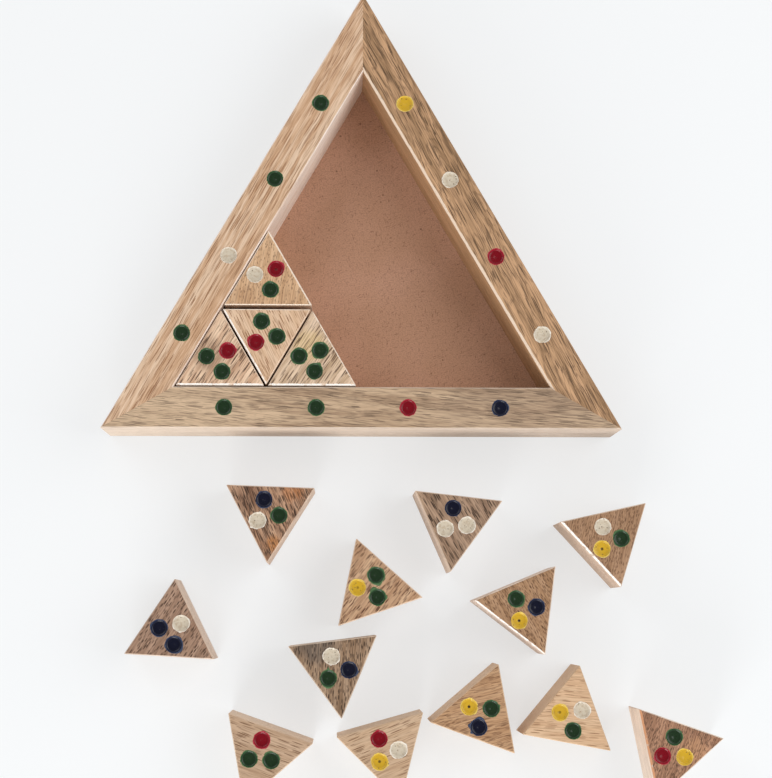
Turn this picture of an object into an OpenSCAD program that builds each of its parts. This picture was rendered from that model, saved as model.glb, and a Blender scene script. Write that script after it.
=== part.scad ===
// Dot-matching triangle puzzle: a mitred wooden tray and sixteen three-sided wooden tiles.
// Each tile has three drilled and painted dots, one for each edge, and each rail of the
// tray has one dot for each tile edge that can lie against it. Touching dots must match.
// Frame: the centre of the tray on the table is the origin, +Z up, +Y towards its apex.
// Four tiles lie in the tray's left corner and twelve lie on the table in front of it.

/* [Tiles] */
// Side of a tile
tile_side = 38; // [36:0.5:60]
// Thickness of a tile
tile_t = 28; // [12:0.5:40]
// Width of the sanded chamfer on a tile's edges
tile_ease = 0.6; // [0.2:0.1:1.2]
// Gap that is left between neighbouring tiles in the tray
tile_gap = 0.8; // [0.3:0.1:1]
// Gap between a rail and the tiles beside it
rail_gap = 0.4; // [0.3:0.1:0.6]
// How far the tile in the second row has slipped up along the left rail
tile_slip = 1.1; // [0:0.1:2]

/* [Tray] */
// Width of a rail across its top
rail_w = 17.8; // [13:0.1:30]
// Height of a rail
rail_h = 34; // [20:0.5:60]
// Width of the sanded chamfer along a rail's edges
rail_ease = 0.5; // [0.2:0.1:1.2]
// How much longer the tray's inner side is than four tile sides
tray_play = 9.2; // [7:0.1:20]

/* [Floor panel] */
// Thickness of the fibreboard floor panel
panel_t = 6; // [3:0.5:9]
// Width of the rabbet that the panel lies in
rabbet_w = 8; // [5:0.5:10]
// Clearance between the panel's edge and the rabbet's wall
panel_fit = 0.3; // [0.1:0.1:0.8]
// Diameter of a panel pin's shank, which is driven in tight
pin_d = 1.4; // [1:0.1:2]
// Length of a panel pin
pin_len = 15; // [10:0.5:18]
// Diameter of a panel pin's head
pin_head_d = 2.8; // [2:0.1:4]
// Thickness of a panel pin's head
pin_head_t = 0.6; // [0.4:0.1:1]
// Distance between neighbouring panel pins
pin_pitch = 52; // [30:1:60]

/* [Dots] */
// Diameter of a drilled dot
dot_d = 7; // [4:0.1:8.5]
// Depth of a drilled dot
dot_depth = 2.4; // [1.5:0.1:4]
// Diameter of the mark that the drill's centre point leaves
point_d = 1.6; // [0.8:0.1:2.4]
// Depth of that mark below the dot's floor
point_depth = 0.8; // [0.4:0.1:1.2]
// Distance from the tile's centre to the centre of a dot
dot_r = 5.4; // [5:0.1:6]
// Turn of the three dots from the middles of the tile's edges
dot_turn = 15.5; // [0:0.5:20]

/* [Paint] */
// How far below the wood the paint ends on the dot's wall
paint_lip = 0.3; // [0.1:0.05:0.6]
// How far below the wood the pool of paint lies
paint_sink = 1; // [0.7:0.05:1.3]
// Width of the curved lip where the pool climbs the wall
paint_climb = 0.7; // [0.3:0.1:1]
// Depth of the dimple that the pool has over the drill's mark
paint_dimple = 0.4; // [0:0.05:0.6]

/* [Hidden] */
$fn = 48;

rows = 4;                 // rows of tiles in the full tray
past = 1;                 // how far a cutter runs past the face that it opens
root3 = sqrt(3);
turns = [0, 120, 240];    // the three-fold symmetry of tiles and tray

inner_side = rows * tile_side + tray_play;
inner_r = inner_side / (2 * root3);           // centre to a rail's inner edge
outer_r = inner_r + rail_w;                   // centre to a rail's outer edge
outer_side = 2 * root3 * outer_r;
panel_side = inner_side + 2 * root3 * (rabbet_w - panel_fit);
tile_in_r = tile_side / (2 * root3);
// distance between tiles that point the same way, and between their rows
pitch = tile_side + root3 * tile_gap;
row_pitch = pitch * root3 / 2;
// centre of the tile in the tray's left corner
corner = [-inner_side / 2 + root3 * (tile_in_r + rail_gap), -inner_r + tile_in_r + rail_gap];
step_up = [cos(60), sin(60)];                 // direction of the left rail

// paint on the rails, from left to right on the front rail and then on anticlockwise
RAIL_DOTS = [
    ["green", "green", "red", "navy"],        // front rail
    ["white", "red", "white", "yellow"],      // right rail, upwards
    ["green", "green", "white", "green"]      // left rail, downwards
];

// Each tile: place, height it rests at, turn, the paint of its right, lower and left dot, and
// how far off its centre the drilling jig sat, across it and towards its point.
// Places on the table are in tile sides, across from the centre and out from the tray's front.
function in_tray(column, row, slip) =
    corner + [pitch * (column + row / 2), row_pitch * row] + slip * step_up;
function between(column, row) =
    in_tray(column, row, 0) + [pitch / 2, tile_in_r + tile_gap / 2];
function on_table(across, out) = [tile_side * across, -outer_r - tile_side * out];
TILES = [
    [in_tray(0, 0, 0), panel_t, 0, ["red", "green", "green"], [-0.6, 0.3]],
    [between(0, 0), panel_t, 180, ["red", "green", "green"], [0.7, -0.4]],
    [in_tray(1, 0, 0), panel_t, 0, ["green", "green", "green"], [-0.4, 0.6]],
    [in_tray(0, 1, tile_slip), panel_t, 0, ["red", "green", "white"], [-0.5, 1]],
    [on_table(-1.04, 0.93), 0, 58, ["navy", "green", "white"], [-0.5, 0.9]],
    [on_table(1.06, 1.03), 0, 53.5, ["navy", "white", "white"], [-0.1, 0.4]],
    [on_table(2.79, 1.21), 0, 72.5, ["white", "green", "yellow"], [-0.4, 0.1]],
    [on_table(0.12, 1.77), 0, 18.5, ["green", "green", "yellow"], [-0.8, 0.5]],
    [on_table(1.83, 1.99), 0, 82.5, ["green", "navy", "yellow"], [-0.8, 0.4]],
    [on_table(-2.12, 2.25), 0, -3.5, ["white", "navy", "navy"], [0.2, -0.6]],
    [on_table(-0.29, 2.65), 0, 67, ["white", "navy", "green"], [-0.4, -0.5]],
    [on_table(1.33, 3.16), 0, -20, ["green", "navy", "yellow"], [-0.5, -0.6]],
    [on_table(2.33, 3.20), 0, -10.5, ["white", "green", "yellow"], [0.3, -0.4]],
    [on_table(3.47, 3.55), 0, 41, ["green", "yellow", "red"], [-0.4, -0.4]],
    [on_table(-1.10, 3.59), 0, 40.5, ["red", "green", "green"], [-0.3, 0.3]],
    [on_table(0.28, 3.56), 0, 75.5, ["red", "white", "yellow"], [-0.1, 0.4]]
];
// tones of the sixteen tiles, which were cut from different boards
WOODS = [
    "#caaa90", "#d3b297", "#ba9a7d", "#c9a382", "#9f7355", "#957963", "#a27f66", "#b8957a",
    "#ac8a6d", "#907463", "#867160", "#ab8665", "#d4af8e", "#a48066", "#b5967d", "#c19c79"
];
function paint_colour(name) =
    name == "green" ? "#1f2b1c" :
    name == "red" ? "#6e1820" :
    name == "yellow" ? "#c89e30" :
    name == "white" ? "#d2c5ae" : "#14141f";

// ---- shapes that repeat ----

// an upright three-sided block with one point towards +Y
module block(side, height) {
    rotate([0, 0, 90]) cylinder(r = side / root3, h = height, $fn = 3);
}

// what the drill takes away: a round flat-bottomed dot with the mark of its centre point
module drilled_dot() {
    translate([0, 0, -dot_depth]) cylinder(d = dot_d, h = dot_depth + past);
    translate([0, 0, -dot_depth - point_depth])
        cylinder(d1 = 0, d2 = point_d, h = point_depth);
}

// the paint that was poured into a dot: it fills the mark, pools, and climbs the wall
module dot_paint(name) {
    wall = dot_d / 2;
    color(paint_colour(name)) rotate_extrude() polygon([
        [0, -dot_depth - point_depth],
        [point_d / 2, -dot_depth],
        [wall, -dot_depth],
        [wall, -paint_lip],
        [wall - paint_climb / 3, -(paint_lip + paint_sink) / 2],
        [wall - paint_climb, -paint_sink],
        [point_d / 2, -paint_sink],
        [0, -paint_sink - paint_dimple]
    ]);
}

// puts its children at a dot of a tile; index picks the dot, right, lower, left
module at_tile_dot(number, index) {
    direction = 30 - 120 * index + dot_turn;
    jig = TILES[number - 1][4];
    translate([jig.x + dot_r * cos(direction), jig.y + dot_r * sin(direction), tile_t])
        children();
}

// puts its children at a tile's place
module at_tile(number) {
    tile = TILES[number - 1];
    translate([tile[0].x, tile[0].y, tile[1]]) rotate([0, 0, tile[2]]) children();
}

// puts its children at one of the dots of the front rail
module at_rail_dot(index) {
    translate([pitch * (index - (rows - 1) / 2), -inner_r - rail_w / 2, rail_h]) children();
}

// puts its children at each panel pin of the front rail
module at_rail_pins() {
    for (step = [-1, 0, 1]) translate([step * pin_pitch, -inner_r - rabbet_w / 2, 0]) children();
}

// a pin, head down, flush with the underside of the panel
module pin() {
    cylinder(d = pin_head_d, h = pin_head_t);
    cylinder(d = pin_d, h = pin_len);
}

// the front rail: its section run along X, cut to its mitres, rebated, drilled
module rail() {
    e = rail_ease;
    difference() {
        intersection() {
            translate([-outer_side / 2, -inner_r, 0]) rotate([90, 0, 90])
                linear_extrude(outer_side) polygon([
                    [-rabbet_w, 0], [-rail_w + e, 0], [-rail_w, e], [-rail_w, rail_h - e],
                    [-rail_w + e, rail_h], [-e, rail_h], [0, rail_h - e], [0, panel_t],
                    [-rabbet_w, panel_t]
                ]);
            linear_extrude(rail_h) polygon([
                [0, 0], [-outer_side / 2, -outer_r], [outer_side / 2, -outer_r]
            ]);
        }
        for (index = [0 : rows - 1]) at_rail_dot(index) drilled_dot();
        at_rail_pins() pin();
    }
}

module frame_dots(name) {
    for (side = [0 : 2]) rotate([0, 0, turns[side]])
        for (index = [0 : rows - 1]) if (RAIL_DOTS[side][index] == name)
            at_rail_dot(index) dot_paint(name);
}

module tile(number) {
    color(WOODS[number - 1]) at_tile(number) difference() {
        hull() {
            translate([0, 0, tile_ease]) block(tile_side, tile_t - 2 * tile_ease);
            block(tile_side - 2 * root3 * tile_ease, tile_t);
        }
        for (index = [0 : 2]) at_tile_dot(number, index) drilled_dot();
    }
}

module tile_dots(number) {
    at_tile(number) for (index = [0 : 2])
        at_tile_dot(number, index) dot_paint(TILES[number - 1][3][index]);
}

// ---- the tray ----

module rail_front() { color("#b5997f") rail(); }
module rail_right() { color("#ab886a") rotate([0, 0, turns[1]]) rail(); }
module rail_left() { color("#cdb097") rotate([0, 0, turns[2]]) rail(); }

module base_panel() {
    color("#a47c64") difference() {
        block(panel_side, panel_t);
        for (turn = turns) rotate([0, 0, turn]) at_rail_pins() pin();
    }
}

module panel_pins() {
    color("#b9b6ae") for (turn = turns) rotate([0, 0, turn]) at_rail_pins() pin();
}

module frame_dots_green() { frame_dots("green"); }
module frame_dots_red() { frame_dots("red"); }
module frame_dots_yellow() { frame_dots("yellow"); }
module frame_dots_white() { frame_dots("white"); }
module frame_dots_navy() { frame_dots("navy"); }

// ---- the tiles: 01 to 04 in the tray, 05 to 16 on the table ----

module tile_01() { tile(1); }
module tile_02() { tile(2); }
module tile_03() { tile(3); }
module tile_04() { tile(4); }
module tile_05() { tile(5); }
module tile_06() { tile(6); }
module tile_07() { tile(7); }
module tile_08() { tile(8); }
module tile_09() { tile(9); }
module tile_10() { tile(10); }
module tile_11() { tile(11); }
module tile_12() { tile(12); }
module tile_13() { tile(13); }
module tile_14() { tile(14); }
module tile_15() { tile(15); }
module tile_16() { tile(16); }

module tile_01_dots() { tile_dots(1); }
module tile_02_dots() { tile_dots(2); }
module tile_03_dots() { tile_dots(3); }
module tile_04_dots() { tile_dots(4); }
module tile_05_dots() { tile_dots(5); }
module tile_06_dots() { tile_dots(6); }
module tile_07_dots() { tile_dots(7); }
module tile_08_dots() { tile_dots(8); }
module tile_09_dots() { tile_dots(9); }
module tile_10_dots() { tile_dots(10); }
module tile_11_dots() { tile_dots(11); }
module tile_12_dots() { tile_dots(12); }
module tile_13_dots() { tile_dots(13); }
module tile_14_dots() { tile_dots(14); }
module tile_15_dots() { tile_dots(15); }
module tile_16_dots() { tile_dots(16); }

rail_front();
rail_right();
rail_left();
base_panel();
panel_pins();
frame_dots_green();
frame_dots_red();
frame_dots_yellow();
frame_dots_white();
frame_dots_navy();
tile_01();
tile_02();
tile_03();
tile_04();
tile_05();
tile_06();
tile_07();
tile_08();
tile_09();
tile_10();
tile_11();
tile_12();
tile_13();
tile_14();
tile_15();
tile_16();
tile_01_dots();
tile_02_dots();
tile_03_dots();
tile_04_dots();
tile_05_dots();
tile_06_dots();
tile_07_dots();
tile_08_dots();
tile_09_dots();
tile_10_dots();
tile_11_dots();
tile_12_dots();
tile_13_dots();
tile_14_dots();
tile_15_dots();
tile_16_dots();
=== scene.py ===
# %% [markdown]
# # A dot-matching triangle puzzle
# A mitred wooden tray with a fibreboard floor holds sixteen three-sided wooden tiles. Each
# tile has three drilled dots filled with enamel paint, and the rails of the tray have
# twelve more. The packed model is the frame of this scene: it gives every piece its place
# and size, and what is made here is only what the eye sees, in metres.

# %% Load the frame
import math
import random

import bmesh
import bpy
from mathutils import Matrix, Vector, noise


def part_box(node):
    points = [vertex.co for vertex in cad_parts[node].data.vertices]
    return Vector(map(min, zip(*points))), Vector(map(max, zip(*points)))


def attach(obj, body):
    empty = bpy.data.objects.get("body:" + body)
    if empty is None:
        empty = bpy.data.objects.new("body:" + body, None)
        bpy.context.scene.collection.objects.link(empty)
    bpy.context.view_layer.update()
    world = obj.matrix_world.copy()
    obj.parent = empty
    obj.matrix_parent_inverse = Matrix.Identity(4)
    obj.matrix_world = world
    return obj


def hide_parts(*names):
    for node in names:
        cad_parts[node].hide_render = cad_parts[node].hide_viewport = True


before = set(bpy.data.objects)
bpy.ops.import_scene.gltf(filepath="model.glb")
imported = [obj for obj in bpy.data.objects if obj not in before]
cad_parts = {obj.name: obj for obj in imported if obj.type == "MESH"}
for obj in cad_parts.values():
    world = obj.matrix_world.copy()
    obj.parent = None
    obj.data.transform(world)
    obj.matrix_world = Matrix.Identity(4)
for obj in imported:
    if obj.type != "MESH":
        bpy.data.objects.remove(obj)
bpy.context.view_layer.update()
MM = 0.001

# %% [markdown]
# ## The camera
# The board is seen from above and a little from the front, through a lens that is longer
# than the eye's, so the walls of the tray lean only slightly. The camera comes first
# because it decides how much detail a finish needs.

# %% Set up the camera
# the point the lens looks at and the place it stands, in metres
AIM = Vector((0.0111, -0.0428, 0.0))
EYE = Vector((-0.0102, -0.1450, 0.7578))
FOCAL_LENGTH = 79.55  # millimetres, like the sensor's width
SENSOR_WIDTH = 36

lens = bpy.data.cameras.new("camera")
lens.lens = FOCAL_LENGTH
lens.sensor_fit = "HORIZONTAL"
lens.sensor_width = SENSOR_WIDTH
camera = bpy.data.objects.new("camera", lens)
camera.location = EYE
back = (EYE - AIM).normalized()
right = Vector((0, 1, 0)).cross(back).normalized()
camera.rotation_euler = Matrix((right, back.cross(right), back)).transposed().to_euler()
bpy.context.scene.collection.objects.link(camera)
bpy.context.scene.camera = camera
print("camera stands", round((AIM - EYE).length, 3), "m from the table")

# %% [markdown]
# ## Shader sums as plain expressions
# A wood finish needs a lot of arithmetic on patterns. Wiring it by hand hides the idea, so
# a small class wraps a socket and overloads the operators: an expression on two wires adds
# the Math nodes that it needs.

# %% A wire that can be used in sums
class Wire:
    """One output socket of a sheet of nodes."""

    def __init__(self, sheet, socket):
        self.sheet = sheet
        self.socket = socket

    def sum(self, operation, first, second):
        return self.sheet.add("ShaderNodeMath", {"operation": operation}, {0: first, 1: second})

    def other(self, output):
        """Another output of the same node."""
        return Wire(self.sheet, self.socket.node.outputs[output])

    def __add__(self, other):
        return self.sum("ADD", self, other)

    def __sub__(self, other):
        return self.sum("SUBTRACT", self, other)

    def __mul__(self, other):
        return self.sum("MULTIPLY", self, other)

    def __rsub__(self, other):
        return self.sum("SUBTRACT", other, self)

    __radd__ = __add__
    __rmul__ = __mul__


print("wires can be added, subtracted and multiplied")

# %% [markdown]
# ## A sheet of nodes
# Every other node comes from one method, which takes the node's type, its settings and the
# values or wires of its sockets. The patterns that this scene uses have short methods of
# their own. Colours go through Mix nodes, because a Math node would turn them grey.

# %% A sheet that hands wires out
# sockets of the Mix node: its factor, its two colours, and the colour that comes out
FACTOR, FIRST_COLOUR, SECOND_COLOUR, MIXED = 0, 6, 7, 2


class Sheet:
    """A sheet of shader nodes that is built by adding nodes in order."""

    def __init__(self, tree):
        self.tree = tree
        self.tree.nodes.clear()

    def add(self, kind, settings, inputs, output=0):
        """Adds a node: its settings come first, then the values or wires of its sockets."""
        node = self.tree.nodes.new(kind)
        for key, value in settings.items():
            setattr(node, key, value)
        for key, value in inputs.items():
            if isinstance(value, Wire):
                self.tree.links.new(value.socket, node.inputs[key])
            else:
                node.inputs[key].default_value = value
        return Wire(self, node.outputs[output]) if node.outputs else None

    def vector(self, operation, first, second, output=0):
        return self.add("ShaderNodeVectorMath", {"operation": operation},
                        {0: first, 1: second}, output)

    def mix(self, factor, first, second):
        settings = {"data_type": "RGBA", "clamp_factor": True}
        inputs = {FACTOR: factor, FIRST_COLOUR: first, SECOND_COLOUR: second}
        return self.add("ShaderNodeMix", settings, inputs, MIXED)

    def ramp(self, value, low, high):
        """0 below low, 1 above high, and a smooth rise between them."""
        settings = {"interpolation_type": "SMOOTHSTEP"}
        return self.add("ShaderNodeMapRange", settings, {0: value, 1: low, 2: high})

    def noise(self, vector, detail=0.0, output=0):
        """A cloudy pattern from 0 to 1; output 1 is a colour, which serves as a vector."""
        inputs = {"Vector": vector, "Scale": 1.0, "Detail": detail}
        return self.add("ShaderNodeTexNoise", {"noise_dimensions": "3D"}, inputs, output)

    def cells(self, vector):
        """Distance to the nearest of many scattered points; output 1 is that point's colour."""
        return self.add("ShaderNodeTexVoronoi", {"feature": "F1"}, {"Vector": vector, "Scale": 1})

    def stretch(self, vector, centre, turn, size):
        """The vector seen from a centre and along a direction, in cells of the given size."""
        inputs = {"Vector": vector, "Location": centre, "Rotation": (0, 0, math.radians(turn)),
                  "Scale": [length * MM for length in size]}
        return self.add("ShaderNodeMapping", {"vector_type": "TEXTURE"}, inputs)


print("a sheet has", ", ".join(name for name in vars(Sheet) if not name.startswith("_")))

# %% [markdown]
# ## A finish
# A finish is a material with one surface shader. It reads the piece's own place and facing,
# so a pattern stays with its piece when the piece moves. Values that are the same all over
# the surface, such as the specular level, are set on the shader's own sockets.

# %% A finish, and colours written as codes
class Finish(Sheet):
    """A material: its sheet, the piece's own coordinates, and one surface shader."""

    def __init__(self, name):
        self.material = bpy.data.materials.new(name)
        self.material.use_nodes = True
        super().__init__(self.material.node_tree)
        self.place = self.add("ShaderNodeTexCoord", {}, {}, 3)
        self.facing = self.place.other(1)

    def grains(self, *size, turn=0):
        """The piece's own place in cells of a size in millimetres, turned by some degrees."""
        return self.stretch(self.place, (0, 0, 0), turn, size)

    def close(self, colour, roughness, height, relief, **constants):
        """Ends the finish; relief is the depth in millimetres that height stands for."""
        bump = self.add("ShaderNodeBump", {}, {"Height": height, "Strength": 0.6,
                                               "Distance": relief * MM})
        inputs = {"Base Color": colour, "Roughness": roughness, "Normal": bump, **constants}
        surface = self.add("ShaderNodeBsdfPrincipled", {}, inputs)
        self.add("ShaderNodeOutputMaterial", {}, {"Surface": surface})
        return self.material


def tone(code, gain=1.0):
    """A colour written as six hexadecimal digits, made linear for the shader."""
    parts = [int(code[i:i + 2], 16) / 255 for i in (0, 2, 4)]
    linear = [p / 12.92 if p < 0.04 else ((p + 0.055) / 1.055) ** 2.4 for p in parts]
    return (*[gain * p for p in linear], 1)


def gloss(level):
    """How strongly a surface mirrors, as a setting of its shader."""
    return {"Specular IOR Level": level}


print("a mid grey is", round(tone("808080")[0], 3), "in linear light")

# %% [markdown]
# ## Wood
# The boards are a coarse tropical hardwood, and its figure is noise that is squeezed across
# the grain: broad bands of tone, growth lines, fine fibres. A slow drift bends the grain
# before any pattern is read, so that all of them wander together. Everything is read from
# the piece's own place, so the figure runs through the solid and turns into end grain on
# the sides.

# %% The grain of one board
# length and width of each pattern along the grain, in millimetres
DRIFT = (24, 7)
FIBRES = (8, 0.4)
CLUSTERS = (16, 4)
GROWTH = (34, 5)


class Timber(Finish):
    """The sheet of a wood finish, with the patterns that run along one board's grain."""

    def __init__(self, name, centre, grain, bend):
        super().__init__(name)
        self.centre = centre
        self.grain = grain
        self.bent = self.place
        drift = self.noise(self.along(*DRIFT), detail=1.5, output=1)
        self.bent = self.add("ShaderNodeVectorMath", {"operation": "MULTIPLY_ADD"},
                             {0: drift, 1: (bend * MM,) * 3, 2: self.place})
        self.fibres = self.noise(self.along(*FIBRES), detail=3)
        self.clusters = self.noise(self.along(*CLUSTERS), detail=1)
        up = self.add("ShaderNodeSeparateXYZ", {}, {0: self.facing}, 2)
        self.top = self.ramp(up, 0.86, 0.985)

    def along(self, length, width, depth=None):
        """The wandering grain, in cells of a length, width and depth in millimetres."""
        return self.stretch(self.bent, self.centre, self.grain, (length, width, depth or width))


print("fibres are", FIBRES[1], "mm wide")

# %% [markdown]
# ### Open pores
# Pores are what gives this wood away: slim vessels that were cut open by the saw and show as
# short dark dashes. They are the cells of a scattered-point pattern, squeezed so that each
# cell holds a slim ellipse, and each point's own random colour says whether that pore is
# open and how dark it is.

# %% Open pores
def open_pores(timber, dash, fat, share, through):
    """1 in an open pore and 0 between them. dash is a pore's length and width in millimetres,
    fat how far it fills its cell, share how many are open, and through how many times deeper
    than wide a cell is."""
    length, width = [size / (2 * fat) for size in dash]
    nearest = timber.cells(timber.along(length, width, width * through))
    lot = timber.add("ShaderNodeSeparateXYZ", {}, {0: nearest.other(1)})
    is_open = timber.ramp(lot + (timber.clusters - 0.5) * 0.9, 1 - share, 1.05 - share)
    shape = 1 - timber.ramp(nearest + (timber.fibres - 0.5) * 0.2, fat - 0.07, fat + 0.03)
    darkness = 0.5 + 0.5 * lot.other(1)
    return shape * is_open * darkness


print("pores gather in clusters", CLUSTERS[0], "mm long")

# %% [markdown]
# ### Stains, painted shade and growth lines
# Some boards have a dark stain or a rusty spot, and some have wavy growth lines. On the
# front rail, two broad patches made the same way are partly painted shade: one end darker,
# the other paler. A stain is the distance from its middle with ragged noise added, so its
# outline follows the fibres. Growth lines are the crests of a sine wave that runs through
# slow noise.

# %% Stains, painted shade and growth lines
FOLDS = 75  # how quickly crests follow each other as the growth noise rises


def stains_and_shade(timber, colour, patches):
    """Each patch is a shift from the centre and a radius in millimetres, a tone, a strength."""
    for shift, radius, ink, strength in patches:
        spot = timber.centre + Vector((*shift, 0)) * MM
        flat = timber.vector("MULTIPLY", timber.bent, (1, 1, 0))
        reach = timber.vector("DISTANCE", flat, (spot.x, spot.y, 0), 1)
        ragged = reach * (1 / (radius * MM)) + (timber.clusters + timber.fibres - 1) * 0.9
        colour = timber.mix((1 - timber.ramp(ragged, 0.45, 1.1)) * strength, colour, tone(ink))
    return colour


def ringed(timber, colour, ink, strength):
    """Wavy growth lines, on the tops only."""
    growth = timber.noise(timber.along(*GROWTH), detail=1)
    wave = timber.add("ShaderNodeMath", {"operation": "SINE"}, {0: growth * FOLDS})
    lines = timber.ramp(wave + (timber.fibres - 0.5) * 1.4, 0.35, 1.1)
    return timber.mix(lines * strength * timber.top, colour, tone(ink))


print("growth noise is folded at a rate of", FOLDS)

# %% [markdown]
# ### Sides and edges
# The tops were darkened by handling before the sides and edges were sanded, so those are
# paler. The sides' tone is also painted light: it is set as bright or as dark as the lamps
# leave each side, so the right rail's shaded inner wall is painted darker. A saw leaves thin
# level layers on a side. An edge that was broken with sandpaper shows a line of bare wood,
# which is chipped here and there. On most edges that line is also a painted highlight where
# the low light catches the rounding.

# %% Sawn sides and worn edges, with painted light and painted highlights
SAW_LAYERS = (30, 14, 0.55)
CHIPS = (2.6, 2.6, 2.6)


def sawn_sides(timber, colour, sawn, shade):
    """Paler, layered wood on the faces that aren't a top; its tone is partly painted light."""
    layers = timber.noise(timber.along(*SAW_LAYERS), detail=2)
    # the sides' tone is partly painted light: as pale or as dark as the lamps leave them
    pale = timber.mix(0.55, colour, tone(sawn, 1.12))
    pale = timber.mix(timber.ramp(layers, 0.38, 0.7) * 0.5, pale, tone(shade))
    is_top = timber.ramp(timber.top + (timber.fibres - 0.5) * 1.2, 0.3, 0.7)
    return timber.mix(is_top, pale, colour)


def worn_and_lit_edges(timber, colour, edges, chipped):
    """Each edge is the direction in degrees that it faces and its tone, bare wood and a painted
    highlight together.
    """
    for angle, ink in edges:
        angle = math.radians(angle)
        lean = (0.7 * math.cos(angle), 0.7 * math.sin(angle), 0.7)
        match = timber.vector("DOT_PRODUCT", timber.facing, lean, 1)
        # a pale line on the rounded edges that face this way: bare wood and a painted highlight
        worn_and_lit = timber.ramp(match + (timber.fibres - 0.5) * 0.3, 0.82, 0.9)
        chips = timber.noise(timber.stretch(timber.place, timber.centre, 0, CHIPS), detail=2)
        worn_and_lit = worn_and_lit * timber.ramp(chips, chipped - 0.15, chipped)
        colour = timber.mix(worn_and_lit, colour, tone(ink))
    return colour


print("saw layers are", SAW_LAYERS[2], "mm thick")

# %% [markdown]
# ### The whole finish
# The finish is built up as the eye reads it: the bands of tone, stains and growth lines,
# light and dark fibres, the pores, and last the sides and edges. Three tones make a board:
# its light wood, its shade and its pores.

# %% A wood finish
def wood(name, centre, grain, light, shade, pore, dash=(5, 0.5), fat=0.4, share=0.7, through=1,
         depth=0.95, band=(46, 4.2), bend=1.2, rings=0.0, sawn="e6d3c0", edges=(), chipped=0.45,
         patches=()):
    """depth is how dark the pores are, bend how far the grain wanders in millimetres."""
    timber = Timber(name, centre, grain, bend)
    fibres = timber.fibres
    pores = open_pores(timber, dash, fat, share, through)
    bands = timber.noise(timber.along(*band), detail=2)
    colour = timber.mix(timber.ramp(bands, 0.36, 0.64), tone(light), tone(shade))
    colour = stains_and_shade(timber, colour, patches)
    if rings:
        colour = ringed(timber, colour, pore, rings)
    colour = timber.mix((1 - timber.ramp(fibres, 0.3, 0.5)) * 0.4, colour, tone(light, 1.25))
    colour = timber.mix(timber.ramp(fibres, 0.48, 0.7) * 0.45, colour, tone(pore))
    colour = timber.mix(pores * (depth * (0.6 + 0.4 * timber.top)), colour, tone(pore))
    # sides and edges: their tones are partly painted light and painted highlights
    colour = sawn_sides(timber, colour, sawn, shade)
    colour = worn_and_lit_edges(timber, colour, edges, chipped)
    roughness = 0.52 + fibres * 0.16 + pores * 0.15
    return timber.close(colour, roughness, fibres * 0.35 - pores, 0.14, **gloss(0.3))


print("a board has", len(wood.__defaults__), "choices besides its place and its tones")

# %% [markdown]
# ## Enamel paint
# The paint was dripped into the drilled dots with a brush. It pools with a dark, glossy
# middle over the drill's mark, climbs the wall, and leaves a thin, lighter skin where it
# ran over on to the wood. The dark middle is partly thick paint and partly painted shade of
# the hole, and the lighter rim and skin are partly thin paint and partly a painted highlight
# where the light catches the rim. Each paint piece carries an attribute, thin, that is 0 in
# the pool and 1 on the skin, so the finish follows the paint's thickness. A second one, bare,
# is above 0 where the paint left the drill's mark uncovered. Yellow and white are opaque
# pigments that dried with pinholes in them.

# %% A paint finish
WOOD_UNDER_PAINT = "a58663"
PINHOLE = "55422a"
BARE_MARK = "2e2117"


def paint(name, deep, rim, skin, pits=0.0, wash=0.0):
    """Three tones from the pool to the skin; pits is how dark its pinholes are, and wash how
    much of the wood shows through."""
    finish = Finish(name)
    thin = finish.add("ShaderNodeAttribute", {"attribute_name": "thin"}, {}, 2)
    bare = finish.add("ShaderNodeAttribute", {"attribute_name": "bare"}, {}, 2)
    cloud = finish.noise(finish.grains(1.1, 1.1, 1.1), detail=2)
    streak = finish.noise(finish.grains(0.4, 1.6, 1.6, turn=35), detail=1)
    cover = thin + (cloud - 0.5) * 0.3
    pool_edge = finish.ramp(cover + (streak - 0.5) * 0.5, 0.0, 0.55)
    # darker pool and lighter rim: thick and thin paint, with painted shade in the hole and a
    # painted highlight on the rim
    colour = finish.mix(pool_edge, tone(deep), tone(rim))
    colour = finish.mix(finish.ramp(cover, 0.66, 1.0) * 0.8, colour, tone(skin))
    colour = finish.mix(finish.ramp(cloud, 0.45, 0.7) * wash, colour, tone(WOOD_UNDER_PAINT))
    bubbles = finish.cells(finish.grains(1.3, 1.3, 1.3))
    few = finish.noise(finish.grains(1.7, 1.7, 1.7))
    hole = (1 - finish.ramp(bubbles, 0.12, 0.25)) * finish.ramp(few, 0.44, 0.54)
    colour = finish.mix(hole * pits, colour, tone(PINHOLE))
    colour = finish.mix(bare, colour, tone(BARE_MARK))
    roughness = 0.2 + finish.ramp(cover, 0.5, 1.0) * 0.25 + hole * 0.2
    return finish.close(colour, roughness, cloud * 0.5 - hole * pits, 0.1, **gloss(0.3))


PAINTS = {
    "green": paint("green_enamel", "20341f", "2f4f30", "557249"),
    "red": paint("red_enamel", "7b0c1a", "961527", "b03a48"),
    "yellow": paint("yellow_enamel", "cfa72e", "d8b43c", "dcc570", 0.9, 0.12),
    "white": paint("white_enamel", "d2c6b2", "d9cfbe", "eee8dd", 0.9, 0.4),
    "navy": paint("navy_enamel", "121426", "1b203a", "3c4860"),
}
print("paints", ", ".join(PAINTS))

# %% [markdown]
# ## Fibreboard and pin steel
# The floor is hardboard: pressed brown fibres with a smooth face. It shows a cloudy tone, a
# very fine grain, and short darker fibres that lie in every direction, made here as two
# squeezed noises that cross. The pins underneath are drawn steel, dulled by handling. The
# shapes of both come straight from the packed model, and only their finish is new.

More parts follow.
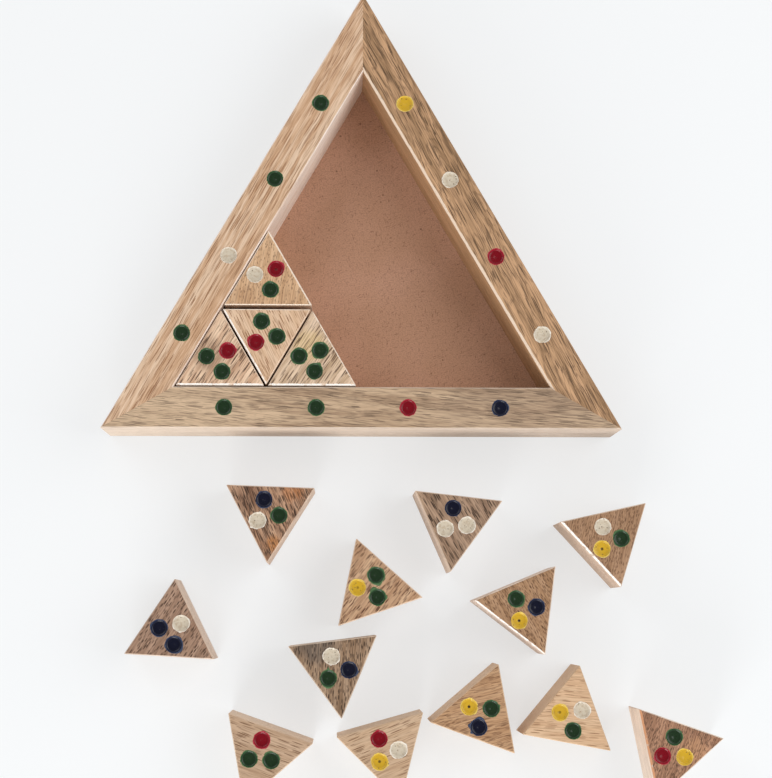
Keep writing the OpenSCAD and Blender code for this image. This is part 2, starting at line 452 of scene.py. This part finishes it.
# %% Fibreboard and steel
def fibreboard():
    finish = Finish("pressed_fibreboard")
    cloud = finish.noise(finish.grains(28, 28, 28), detail=2)
    grit = finish.noise(finish.grains(0.6, 0.6, 0.6), detail=2)
    colour = finish.mix(finish.ramp(cloud, 0.3, 0.7), tone("c6997f"), tone("bd9175"))
    colour = finish.mix(finish.ramp(grit, 0.35, 0.8) * 0.5, colour, tone("805c45"))
    flecks = 0.0
    for turn in (25, 100):
        strand = finish.noise(finish.grains(2.4, 0.34, 0.34, turn=turn), detail=1)
        flecks = finish.ramp(strand, 0.65, 0.73) + flecks
    colour = finish.mix(flecks * 0.5, colour, tone("6b4a39"))
    specks = finish.cells(finish.grains(9, 9, 9))
    colour = finish.mix((1 - finish.ramp(specks, 0.03, 0.07)) * 0.6, colour, tone("4b3326"))
    return finish.close(colour, 0.62 + grit * 0.12, grit - flecks * 0.4, 0.08, **gloss(0.25))


def drawn_steel():
    finish = Finish("drawn_steel")
    wear = finish.noise(finish.grains(1.2, 0.3, 0.3, turn=20), detail=2)
    colour = finish.mix(wear, tone("9c9a94"), tone("c6c3ba"))
    return finish.close(colour, 0.3 + wear * 0.2, wear, 0.04, Metallic=1.0)


for node, finish in (("base_panel", fibreboard()), ("panel_pins", drawn_steel())):
    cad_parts[node].material_slots[0].material = finish
    print(node, "wears", finish.name)

# %% [markdown]
# ## Where the dots are
# The frame knows every place already. The tips of the drill marks are the lowest points of
# each paint node, so they give the centre of every dot.

# %% Read the dots from the frame
HOLE = 3.5  # radius of a drilled dot, in millimetres
HAIR = 0.01 * MM  # points closer than this count as level
TOP_OF_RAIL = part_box("rail_front")[1].z


def dot_centres(node, top):
    """The centres of a paint node's dots, on the wood's face."""
    points = [v.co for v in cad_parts[node].data.vertices]
    lowest = min(p.z for p in points)
    centres = []
    for p in points:
        far = all((p.xy - c.xy).length > HOLE * MM for c in centres)
        if p.z < lowest + HAIR and far:
            centres.append(Vector((p.x, p.y, top)))
    return centres


print("tile 1 has", len(dot_centres("tile_01_dots", 0)), "dots")

# %% [markdown]
# ## Where the tiles are
# The corners of a tile's underside give its centre, and its farthest point from there is a
# corner, which gives its turn. Its dots are put in order, clockwise from due north round
# their own middle, so that a list of colours can name them.

# %% Read centres and turns from the frame
def clockwise_from_north(point, centre):
    away = point - centre
    return math.atan2(away.x, away.y) % math.tau


def read_tile(number):
    """Centre on the table, corner distance and turn from +Y, height span, and dots in order."""
    node = f"tile_{number:02d}"
    low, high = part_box(node)
    dots = dot_centres(node + "_dots", high.z)
    points = [v.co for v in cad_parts[node].data.vertices]
    under = {tuple(round(x, 6) for x in p.xy) for p in points if p.z < low.z + HAIR}
    centre = sum([Vector((*p, high.z)) for p in under], Vector((0, 0, 0))) / len(under)
    middle = sum(dots, Vector((0, 0, 0))) / len(dots)
    corner = max(points, key=lambda p: (p.xy - centre.xy).length)
    away = corner.xy - centre.xy
    return {
        "node": node, "centre": Vector((centre.x, centre.y, low.z)), "top": high.z,
        "radius": away.length, "turn": math.atan2(-away.x, away.y),
        "dots": sorted(dots, key=lambda dot: clockwise_from_north(dot, middle)),
    }


TILES = {number: read_tile(number) for number in range(1, 17)}
print("tile 1 corner distance", round(TILES[1]["radius"] / MM, 2), "mm")

# %% [markdown]
# ## Turned shapes
# A drilled hole and the paint in it are both round, so each is a profile turned about an
# upright axis, as on a lathe. The spin joins its last step to its first, the poles are
# closed by merging doubles, and the normals are worked out afresh.

# %% Turn a profile, draw a section out, and make an object
def turn(bm, profile, centre, steps):
    """Turns a profile of radius and height, in millimetres, about an upright axis."""
    before = set(bm.verts)
    points = [bm.verts.new(centre + Vector((r, 0, z)) * MM) for r, z in profile]
    lines = [bm.edges.new(pair) for pair in zip(points, points[1:])]
    bmesh.ops.spin(bm, geom=points + lines, cent=centre, axis=(0, 0, 1), dvec=(0, 0, 0),
                   angle=math.tau, steps=steps, use_merge=True)
    bmesh.ops.remove_doubles(bm, verts=[v for v in bm.verts if v not in before], dist=1e-7)
    made = [v for v in bm.verts if v not in before]
    faces = {face for v in made for face in v.link_faces}
    bmesh.ops.recalc_face_normals(bm, faces=list(faces))
    return made


def draw_out(bm, way):
    """Extrudes every face of a mesh by a vector."""
    raised = bmesh.ops.extrude_face_region(bm, geom=bm.faces[:])["geom"]
    corners = [g for g in raised if isinstance(g, bmesh.types.BMVert)]
    bmesh.ops.translate(bm, verts=corners, vec=way)


def as_object(name, bm, finish=None):
    mesh = bpy.data.meshes.new(name)
    bm.to_mesh(mesh)
    bm.free()
    if finish:
        mesh.materials.append(finish)
    made = bpy.data.objects.new(name, mesh)
    bpy.context.scene.collection.objects.link(made)
    return made


print("a dot is", 2 * HOLE, "mm wide")

# %% [markdown]
# ## Drilling
# The drill leaves a flat floor with a small cone at its centre, and its rim is broken a
# little. The bits of one block are one mesh, which a Boolean modifier takes away after a
# Bevel modifier has rounded the block. Both are applied, so the finished piece is plain
# mesh, and weighted normals keep its flat faces flat to the light.

# %% Drill a block
WIDEST = 1.6  # the width, in millimetres, of an edge whose bevel weight is 1
SHARP = 38  # degrees between two faces above which their edge stays crisp
FLOOR = -2.4  # height of a dot's floor below the wood's face, in millimetres
POINT = 0.8  # depth and radius of the cone that the drill's point leaves
BREAK = 0.1  # width of the broken rim
DRILL = [(0, FLOOR - POINT), (POINT, FLOOR), (HOLE, FLOOR), (HOLE, -0.12), (HOLE + BREAK, 0),
         (HOLE + BREAK, 1), (0, 1)]
DRILL_STEPS = 48


def drilled(block, dots):
    """Rounds a block's weighted edges, drills its dots and returns the finished piece."""
    bm = bmesh.new()
    for dot in dots:
        turn(bm, DRILL, dot, DRILL_STEPS)
    bits = as_object("drill_bits", bm)
    rounding = block.modifiers.new("rounding", "BEVEL")
    rounding.limit_method = "WEIGHT"
    rounding.width = WIDEST * MM
    rounding.segments = 3
    drilling = block.modifiers.new("drilling", "BOOLEAN")
    drilling.solver = "EXACT"
    drilling.object = bits
    solid = block.evaluated_get(bpy.context.evaluated_depsgraph_get())
    old = block.data
    block.data = bpy.data.meshes.new_from_object(solid)
    block.modifiers.clear()
    bpy.data.objects.remove(bits)
    bpy.data.meshes.remove(old)
    block.data.shade_smooth()
    block.data.set_sharp_from_angle(angle=math.radians(SHARP))
    fair = block.modifiers.new("fair shading", "WEIGHTED_NORMAL")
    fair.keep_sharp = True
    return block


print("a drill bit has", len(DRILL), "points in its profile")

# %% [markdown]
# ## The tiles
# A tile was sawn from a board as a three-sided block and its edges were broken with
# sandpaper by hand, some far more than others. The block is a three-sided circle that is
# filled and extruded; each edge has a bevel weight of its own, and one Bevel modifier
# rounds them all, which keeps neat corners where a wide edge meets a narrow one.

# %% Build a tile
UPRIGHT_EDGE, TOP_EDGE = 0.5, 0.65  # widths of the ordinary edges, in millimetres


def turned_apart(first, second):
    """How many degrees lie between two directions."""
    return abs((first - second + 180) % 360 - 180)


def tile_block(name, tile, finish, wide):
    """wide maps a direction in degrees to the width of the edge that faces it."""
    centre = tile["centre"]
    bm = bmesh.new()
    place = Matrix.Translation(centre) @ Matrix.Rotation(tile["turn"], 4, "Z")
    bmesh.ops.create_circle(bm, cap_ends=True, segments=3, radius=tile["radius"], matrix=place)
    draw_out(bm, Vector((0, 0, tile["top"] - centre.z)))
    bmesh.ops.recalc_face_normals(bm, faces=bm.faces)
    weight = bm.edges.layers.float.new("bevel_weight_edge")
    for edge in bm.edges:
        middle = (edge.verts[0].co + edge.verts[1].co) / 2
        upright = abs(edge.verts[0].co.z - edge.verts[1].co.z) > MM
        away = math.degrees(math.atan2(middle.y - centre.y, middle.x - centre.x))
        width = UPRIGHT_EDGE
        if not upright and middle.z > tile["top"] - MM:
            near = [own for facing, own in wide.items() if turned_apart(away, facing) < 60]
            width = near[0] if near else TOP_EDGE
        edge[weight] = width / WIDEST
    return drilled(as_object(name, bm, finish), tile["dots"])


print("an ordinary edge is", TOP_EDGE, "mm wide")

# %% [markdown]
# ## Sixteen boards
# No two tiles are alike, because they were cut from different boards. Each row says how the
# tile's dots are painted, which way its grain runs, which of its edges were sanded wide,
# and what its board looks like.

# %% Choose the boards and build the tiles
def board(light, shade, pore, **own):
    return {"light": light, "shade": shade, "pore": pore, **own}


# pale edge tones: bare sanded wood, with a painted highlight where the low light catches the edge
CREAM_AND_LIT, BARE_AND_LIT = "f4e4d2", "fbf6f0"
COARSE = {"fat": 0.38, "share": 1.3, "through": 6}
# paint clockwise from due north, grain direction, widths of the wide edges, and the board
# each board's side tone is partly painted light: sides as pale or as dark as they are lit
BOARDS = {
    1: ("red green green", 58, {-90: 1.2}, board(
        "e7c8aa", "bf987a", "3d2515", dash=(6.5, 0.5), edges=[(-90, BARE_AND_LIT)],
        patches=[((-5, 3), 8, "7d5d47", 0.6)])),
    2: ("green red green", -65, {210: 1.0}, board(
        "ddbea0", "d1ae8d", "80502d", dash=(6, 0.4), share=0.65,
        edges=[(210, BARE_AND_LIT), (90, CREAM_AND_LIT)])),
    3: ("green green green", 57, {-90: 1.2}, board(
        "e0c5aa", "ba9c7d", "4c3220", dash=(6.5, 0.5), edges=[(-90, BARE_AND_LIT), (30, CREAM_AND_LIT)],
        patches=[((-1, 7), 8, "cdb180", 0.7)])),
    4: ("red green white", 80, {30: 0.9, -90: 0.5}, board(
        "d7b28d", "c19973", "674934", dash=(1.2, 0.5), depth=0.6, sawn="fff6ec",
        edges=[(30, CREAM_AND_LIT), (-90, CREAM_AND_LIT)],
        patches=[((-9, -7), 6, "a47a56", 0.5), ((10, -8), 5, "a9805c", 0.4)])),
    5: ("green white navy", -68, {}, board(
        "c19a7d", "916b51", "22130c", dash=(3.4, 0.48), share=1.0, rings=0.6,
        patches=[((10, 10), 6, "b5703a", 0.6), ((2, -13), 4, "bd7a3e", 0.7),
                 ((-8, 8), 8, "5f3d2b", 0.6)])),
    6: ("white white navy", -60, {200: 0.9}, board(
        "af9178", "886c56", "26160c", dash=(4.4, 0.52), bend=1.5, **COARSE)),
    7: ("green yellow white", 75, {227: 1.2}, board(
        "a98567", "997557", "4d2f1b", dash=(1.6, 0.36), share=0.85, depth=0.75,
        edges=[(227, BARE_AND_LIT)])),
    8: ("green green yellow", 52, {}, board(
        "c8a584", "ab8464", "44200f", dash=(3.2, 0.5), **COARSE)),
    9: ("navy yellow green", -60, {233: 0.9}, board(
        "b18c6b", "997453", "52321f", dash=(1.9, 0.36), share=1.0, sawn="fbeee2",
        edges=[(233, BARE_AND_LIT)])),
    10: ("white navy navy", 57, {}, board(
        "ac8c76", "8d6e59", "321b10", dash=(2.4, 0.5), **COARSE)),
    11: ("navy green white", 87, {}, board(
        "ab8f75", "84684f", "27160f", dash=(2.3, 0.48),
        patches=[((-8, 10), 10, "5a514a", 0.75)], **COARSE)),
    12: ("green navy yellow", 15, {}, board(
        "bd9773", "ae8662", "5e3b24", dash=(3, 0.4), share=0.5, depth=0.7, bend=3.5,
        rings=0.5, sawn="dcc3a6")),
    13: ("white green yellow", -5, {}, board(
        "d4b391", "caa582", "835835", dash=(5, 0.45), share=0.4, depth=0.8, sawn="c4ab8e")),
    14: ("green yellow red", 70, {190: 1.1}, board(
        "b1866a", "916950", "26150d", dash=(1.6, 0.4), share=0.95, depth=0.75, sawn="fbf0e0",
        edges=[(190, "c88f68")], patches=[((9, 0), 7, "bb8c66", 0.6)])),
    15: ("red green green", -20, {}, board(
        "c1a489", "af9074", "654326", dash=(6, 0.42), share=0.55, sawn="dcc8b2")),
    16: ("white yellow red", 22, {}, board(
        "c7aa8d", "b9997a", "6e4a2c", dash=(6, 0.42), share=0.5, sawn="cfb9a0")),
}
for number, (colours, grain, wide, stuff) in BOARDS.items():
    tile = TILES[number]
    finish = wood(f"wood_of_tile_{number:02d}", tile["centre"], grain, **stuff)
    block = tile_block(f"wood_tile_{number:02d}", tile, finish, wide)
    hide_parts(tile["node"])
    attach(block, tile["node"])
print("tiles made", len(BOARDS))

# %% [markdown]
# ## The rails
# Each rail is a length of moulding: one section with a rabbet for the floor, run straight
# and cut at thirty degrees to the inner edge at both ends. The section comes from the boxes
# of the front rail and the panel. All three rails are made as the front rail is, cut by two
# planes, and turned into place about the tray's centre.

# %% Build a rail
OUTER_EDGE, FOOT_EDGE = 0.75, 0.4  # roundings in millimetres
PANEL_FIT = 0.3  # gap between the panel's edge and the rabbet, in millimetres
MITRE = math.radians(60)  # between the rail's length and the normal of its cut


def rail_section(inner_edge):
    """The moulding's section at its left end; inner_edge is the rounding beside the tiles."""
    low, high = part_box("rail_front")
    panel_low, panel_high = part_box("base_panel")
    rabbet = panel_low.y - PANEL_FIT * MM
    section = [(rabbet, 0), (low.y, 0), (low.y, high.z), (high.y, high.z),
               (high.y, panel_high.z), (rabbet, panel_high.z)]
    bm = bmesh.new()
    bm.faces.new([bm.verts.new((low.x, y, z)) for y, z in section])
    roundings = ((inner_edge, high.y, high.z), (OUTER_EDGE, low.y, high.z),
                 (FOOT_EDGE, low.y, 0))
    for width, y, z in roundings:
        corners = [v for v in bm.verts if (v.co.yz - Vector((y, z))).length < HAIR]
        bmesh.ops.bevel(bm, geom=corners, affect="VERTICES", offset=width * MM, segments=4,
                        profile=0.5, material=-1)
    return bm, high.x - low.x


def rail_block(name, turn_angle, finish, dots, inner_edge):
    bm, length = rail_section(inner_edge)
    draw_out(bm, Vector((length, 0, 0)))
    for side in (-1, 1):
        normal = Vector((side * math.cos(MITRE), math.sin(MITRE), 0))
        whole = bm.verts[:] + bm.edges[:] + bm.faces[:]
        cut = bmesh.ops.bisect_plane(bm, geom=whole, plane_co=(0, 0, 0), plane_no=normal,
                                     clear_outer=True, dist=1e-7)["geom_cut"]
        rim = [g for g in cut if isinstance(g, bmesh.types.BMEdge)]
        bmesh.ops.contextual_create(bm, geom=rim)
    bmesh.ops.recalc_face_normals(bm, faces=bm.faces)
    bmesh.ops.rotate(bm, verts=bm.verts, cent=(0, 0, 0),
                     matrix=Matrix.Rotation(math.radians(turn_angle), 3, "Z"))
    return drilled(as_object(name, bm, finish), dots)


print("rails are", round(TOP_OF_RAIL / MM, 2), "mm high")

# %% [markdown]
# ## Three rails and their dots
# The rails were cut from different boards too. A dot belongs to the rail on its own side of
# the tray: the bearing from the tray's centre to the dot has to be close to the rail's.

# %% Choose the boards and build the rails
SAME_SIDE = 0.51  # just over the cosine of sixty degrees
rail_dots = []
for colour in PAINTS:
    rail_dots += [(dot, colour) for dot in dot_centres("frame_dots_" + colour, TOP_OF_RAIL)]

# turn about the tray's centre, rounding of the inner edge, grain direction, and the board
# each rail's side tone is partly painted light: right rail's shaded inner wall darker, left paler
RAILS = {
    # its two patches make the rail darker towards its right end and paler towards its left: wood
    # tone and painted shade together
    "rail_front": (0, 0.75, -5, board(
        "c4a88a", "a5896e", "47372c", dash=(8, 0.34), share=0.6, depth=0.75, band=(60, 4),
        bend=2, rings=0.12, sawn="dccfc2",
        patches=[((75, -2), 50, "8a7462", 0.35), ((-80, -2), 45, "dcc0a0", 0.4)])),
    # the right rail's cream inner edge is partly a painted highlight
    "rail_right": (120, 1.7, -63, board(
        "c59c76", "977554", "402d1e", dash=(13, 0.42), share=0.65, depth=0.9, band=(70, 3),
        bend=2.5, rings=0.35, sawn="a8825f", edges=[(210, "e6d0ba")], chipped=0)),
    "rail_left": (240, 0.9, 61, board(
        "ddc0a4", "c49d7b", "885b38", dash=(13, 0.4), share=0.65, depth=0.85, band=(90, 2.6),
        bend=1.5, sawn="fffaf6")),
}
for node, (turn_angle, inner_edge, grain, stuff) in RAILS.items():
    low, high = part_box(node)
    centre = (low + high) / 2
    direction = Vector((0, -1)) @ Matrix.Rotation(math.radians(-turn_angle), 2)
    own_dots = [dot for dot, colour in rail_dots
                if dot.xy.normalized().dot(direction) > SAME_SIDE]
    finish = wood("wood_of_" + node, centre, grain, **stuff)
    rail = rail_block("wood_" + node, turn_angle, finish, own_dots, inner_edge)
    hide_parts(node)
    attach(rail, "tray")
    print(node, "has", len(own_dots), "dots")

# %% [markdown]
# ## The paint in the dots
# A drip of paint fills its hole: flat where it pooled, with a dimple over the drill's mark,
# a curve up the wall, and a skin that ran a little way over the edge. The profile is turned
# like the hole, then the skin's reach is varied round the rim with smooth noise, and pulled
# further out where the brush slipped.

# %% Fill a dot
SKIN = 0.15  # how far the skin of paint laps over the hole's edge, in millimetres
POUR = [
    (0, -3.1), (0.75, -2.36), (HOLE - 0.02, -2.36), (HOLE - 0.02, -0.3),
    (HOLE + 0.04, -0.1), (HOLE + 0.14, -0.03), (HOLE + SKIN, 0.02), (HOLE + 0.08, 0.05),
    (HOLE - 0.02, 0.02), (HOLE - 0.12, -0.12), (HOLE - 0.22, -0.42), (HOLE - 0.42, -0.72),
    (HOLE - 0.8, -0.9), (HOLE - 1.3, -0.97), (1.4, -0.99), (0.8, -1.02), (0.4, -1.12),
    (0, -1.24),
]
THINS_FROM, THINS_OVER = HOLE - 0.75, 0.85  # where the pool starts to thin, and how gradually
MOVED_FROM = HOLE + 0.03  # the skin outside this radius is ragged
MARK = 0.5  # radius of what shows of the drill's mark
POUR_STEPS = 56


def raggedness(angle, offset, slips):
    """How much further than usual the skin reaches in one direction, in millimetres."""
    ring = Vector((math.cos(angle), math.sin(angle), 0))
    ragged = noise.noise(ring * 1.3 + offset) * 0.38 + noise.noise(ring * 5 + offset) * 0.24
    for direction, reach, width in slips:
        gap = (math.degrees(angle) - direction + 180) % 360 - 180
        ragged += reach * math.exp(-((gap / width) ** 2))
    return ragged


def fill(bm, dot, seed, bare=0.0, slips=()):
    """Pours one dot. Each slip is a direction in degrees, a reach and a width in degrees."""
    chance = random.Random(seed)
    offset = Vector([chance.uniform(0, 50) for _ in range(3)])
    spread = chance.uniform(-0.05, 0.08)
    thin, uncovered = (bm.verts.layers.float[name] for name in ("thin", "bare"))
    for point in turn(bm, POUR, dot, POUR_STEPS):
        away = (point.co - dot).xy
        radius = away.length / MM
        point[thin] = min(max((radius - THINS_FROM) / THINS_OVER, 0), 1)
        point[uncovered] = bare if radius < MARK else 0
        if radius < MOVED_FROM:
            continue
        share = (radius - HOLE) / SKIN
        extra = raggedness(math.atan2(away.y, away.x), offset, slips) + spread
        longer = max(radius + share * extra, MOVED_FROM)
        point.co.xy = dot.xy + away.normalized() * longer * MM


print("a pour has", len(POUR), "points in its profile")

# %% [markdown]
# ## Brush slips
# A few dots were painted less neatly than the rest: the brush slipped and dragged paint on
# to the wood, or missed the middle. These are the hand's work, so they are listed dot by
# dot. The paint of one tile in one colour is one piece, which rides on that tile.

# %% Pour the paint
# by tile and dot: direction in degrees, reach in millimetres, spread in degrees
SLIPS = {
    (1, 0): [(0, 0.5, 14)],
    (2, 1): [(150, 0.5, 20)],
    (3, 0): [(235, 0.5, 14)],
    (3, 1): [(60, 0.6, 12)],
    (4, 0): [(30, 0.3, 30)],
    (5, 1): [(225, 0.8, 9)],
    (7, 0): [(135, 0.6, 30)],
    (8, 0): [(-70, 1.0, 22), (-30, 0.3, 40)],
    (8, 1): [(115, 1.0, 22), (0, 0.6, 14)],
    (9, 2): [(-45, 0.5, 25)],
    (10, 1): [(-30, 0.5, 50), (60, 0.4, 20)],
    (10, 2): [(150, 0.5, 40)],
    (11, 0): [(-20, 0.7, 25)],
    (11, 1): [(90, 1.2, 6), (-90, 0.5, 30)],
    (12, 0): [(20, 0.6, 10)],
    (12, 1): [(170, 1.0, 12), (215, 0.9, 8), (80, 0.6, 20)],
    (15, 1): [(130, 0.5, 18)],
    (16, 0): [(30, 0.5, 10)],
    (16, 1): [(-20, 0.5, 6)],
    (16, 2): [(95, 0.4, 12)],
}
# dots where the paint left the drill's mark bare, and how bare it is
BARE_MARKS = {(4, 0): 0.5, (7, 1): 0.9, (8, 2): 0.5, (9, 1): 1.0, (12, 2): 1.0, (13, 2): 0.6,
              (16, 1): 0.8}
TRAY_SEED = 500  # above ten times any tile's number, where its own dots' seeds begin


def paint_piece(name, colour, dots, node, body):
    """dots is a list of (centre, seed, bareness of the mark, slips)."""
    bm = bmesh.new()
    bm.verts.layers.float.new("thin")
    bm.verts.layers.float.new("bare")
    for dot in dots:
        fill(bm, *dot)
    piece = as_object(name, bm, PAINTS[colour])
    piece.data.shade_smooth()
    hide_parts(node)
    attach(piece, body)
    "paint_" + colour


for number, (colours, *_) in BOARDS.items():
    tile = TILES[number]
    order = colours.split()
    for colour in sorted(set(order)):
        own = [(dot, number * 10 + place, BARE_MARKS.get((number, place), 0.0),
                SLIPS.get((number, place), ()))
               for place, dot in enumerate(tile["dots"]) if order[place] == colour]
        paint_piece(f"{colour}_dots_of_tile_{number:02d}", colour, own, tile["node"] + "_dots",
                    tile["node"])
for colour in PAINTS:
    own = [(dot, TRAY_SEED + place) for place, (dot, name) in enumerate(rail_dots)
           if name == colour]
    paint_piece(f"{colour}_dots_of_tray", colour, own, "frame_dots_" + colour, "tray")
print("dots poured", 3 * len(BOARDS) + len(rail_dots))

# %% [markdown]
# ## The table
# The set is on a plain white sweep. It glows a little by itself, so that the shadows on it
# stay pale while the wood is lit by the lamps alone. It lies a hair below the pieces.

# %% Lay the table
TABLE_SIZE = 4  # metres
TABLE_HEIGHT = -0.05 * MM

sweep = Finish("white_sweep")
mottle = sweep.noise(sweep.grains(200, 200, 200), detail=1)
sweep_colour = sweep.mix(mottle, (0.32, 0.335, 0.345, 1), (0.315, 0.33, 0.34, 1))
sweep_glow = {"Emission Color": (1, 1, 1, 1), "Emission Strength": 0.59, **gloss(0.0)}
bm = bmesh.new()
bmesh.ops.create_grid(bm, x_segments=1, y_segments=1, size=TABLE_SIZE,
                      matrix=Matrix.Translation((0, 0, TABLE_HEIGHT)))
table = as_object("table", bm, sweep.close(sweep_colour, 0.9, mottle, 0.01, **sweep_glow))
print("table laid")

# %% [markdown]
# ## The light
# The light is soft daylight: one large window to the right, a weaker one far to the left, a
# low bounce from the front, and a bright room all round. The ceiling right above the table
# is dim, so that glossy paint looks deep from above.

# %% Hang the lights
LIT_SPOT = Vector((0.0, -0.08, 0.0))  # all three lamps face the middle of the set


def soft_light(name, place, size, power):
    light = bpy.data.lights.new(name, "AREA")
    light.shape = "DISK"
    light.size = size
    light.energy = power
    lamp = bpy.data.objects.new(name, light)
    lamp.location = place
    lamp.rotation_euler = (LIT_SPOT - Vector(place)).to_track_quat("-Z", "Y").to_euler()
    lamp.visible_camera = False
    bpy.context.scene.collection.objects.link(lamp)


# place and size in metres, power in watts
soft_light("window_right", (0.74, 0.06, 0.68), 0.95, 4.8)
soft_light("window_left", (-0.60, 0.45, 0.70), 0.60, 1.8)
soft_light("front_bounce", (-0.25, -0.95, 0.24), 0.60, 6.5)

room = bpy.data.worlds.new("room")
room.use_nodes = True
sky = Sheet(room.node_tree)
direction = sky.add("ShaderNodeTexCoord", {}, {}, 0)
height = sky.add("ShaderNodeSeparateXYZ", {}, {0: direction}, 2)
WALLS, CEILING = (0.74, 0.74, 0.74, 1), (0.16, 0.16, 0.16, 1)
glow = sky.mix(sky.ramp(height, 0.72, 0.93), WALLS, CEILING)
backdrop = sky.add("ShaderNodeBackground", {}, {"Color": glow, "Strength": 1.0})
sky.add("ShaderNodeOutputWorld", {}, {"Surface": backdrop})
bpy.context.scene.world = room
bpy.context.scene.view_settings.view_transform = "Standard"
print("lights hung")

# %% [markdown]
